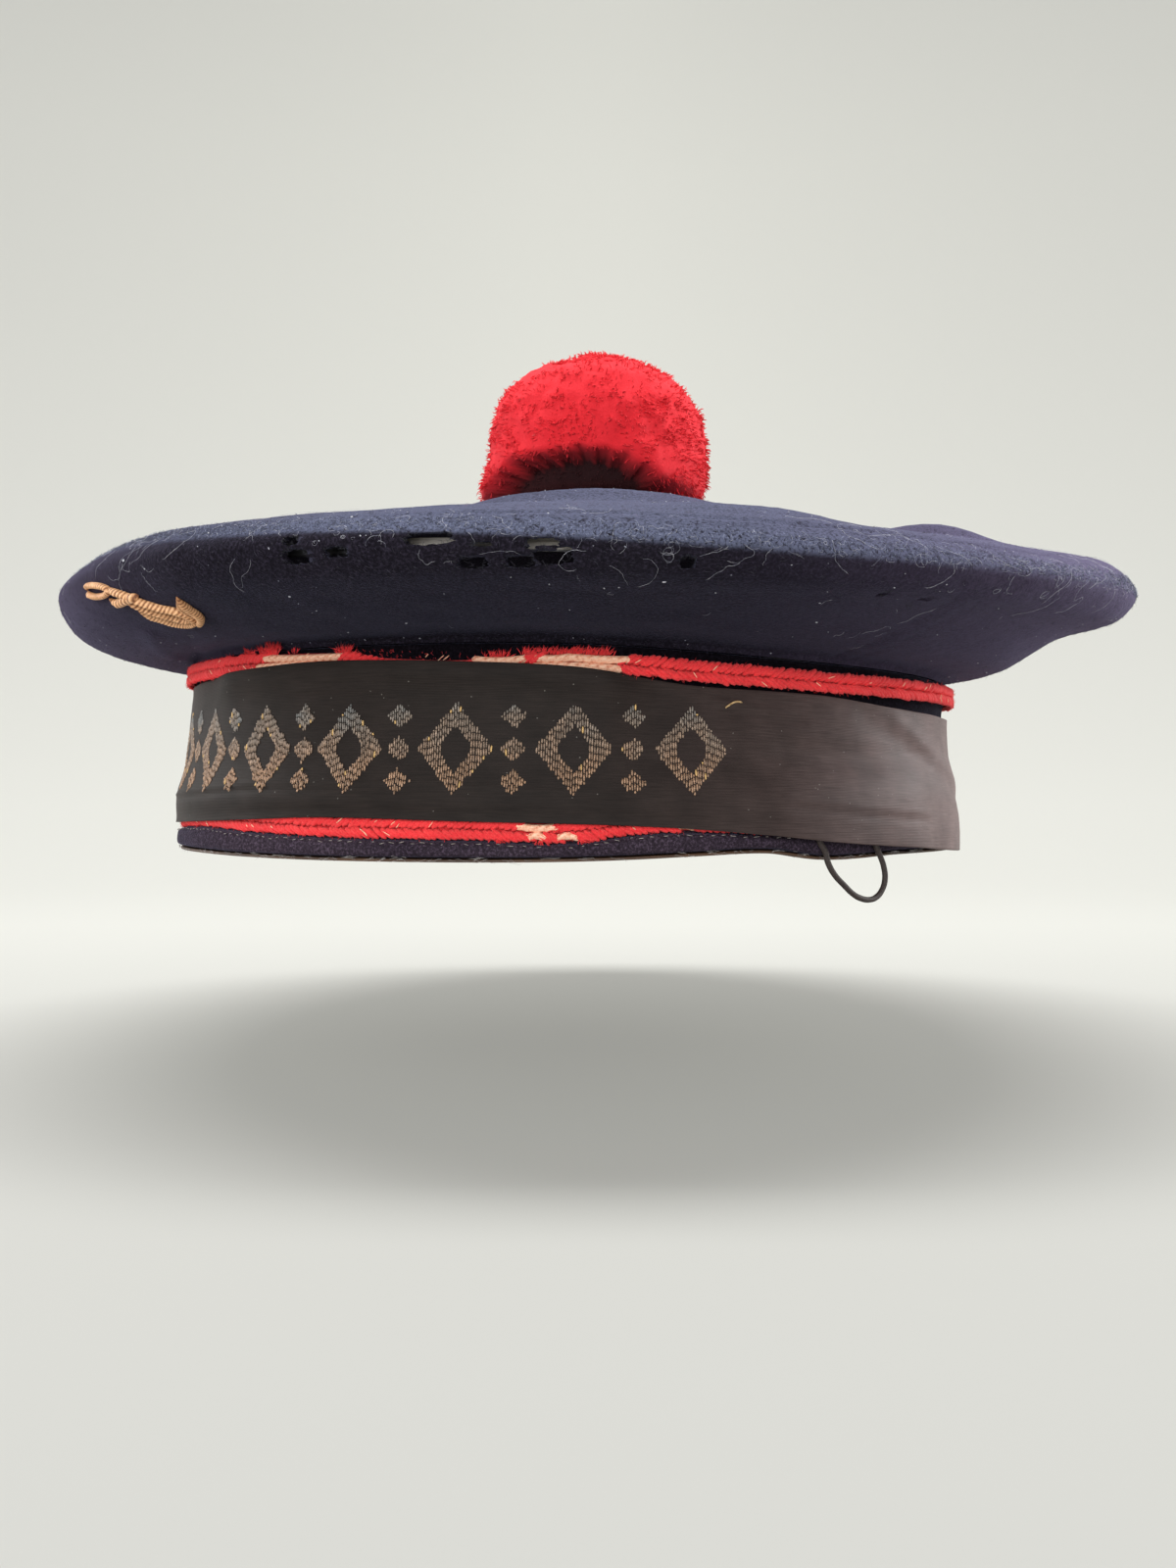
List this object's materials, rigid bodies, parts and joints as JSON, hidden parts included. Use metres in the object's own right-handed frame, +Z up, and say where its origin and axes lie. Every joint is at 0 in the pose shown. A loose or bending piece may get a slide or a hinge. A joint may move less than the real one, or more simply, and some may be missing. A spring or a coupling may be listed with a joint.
{
  "type": "sailor cap",
  "caption": "Soft round wool sailor cap on an upright cloth band, with red braids, a black ribbon, a red pompom, a rope anchor and a thin chin elastic.",
  "frame": {"origin": "centre of the head opening, in the plane of the rim", "axes": "+Z up, -Y the front of the cap, +X the wearer's left"},
  "size_m": [0.2652, 0.2646, 0.137],
  "materials": {
    "navy_wool": "matt fulled wool, worn pale along the fold",
    "stiffener": "satin",
    "brown_leather": "worn matt",
    "red_braid": "wool braid, worn to its pale core in places",
    "black_ribbon": "silk with a soft sheen, creased",
    "red_pompom": "dense cut wool",
    "gold_thread": "tarnished metal thread",
    "brown_elastic": "fabric-covered elastic"
  },
  "bodies": {
    "root": {"crown": "navy_wool", "hoop": "stiffener", "band": "navy_wool", "sweatband": "brown_leather", "soutache_upper": "red_braid", "soutache_lower": "red_braid", "tally_ribbon": "black_ribbon", "pompom": "red_pompom", "anchor_badge": "gold_thread", "chin_elastic": "brown_elastic", "chin_elastic_stowed": "brown_elastic"}
  },
  "joints": []
}
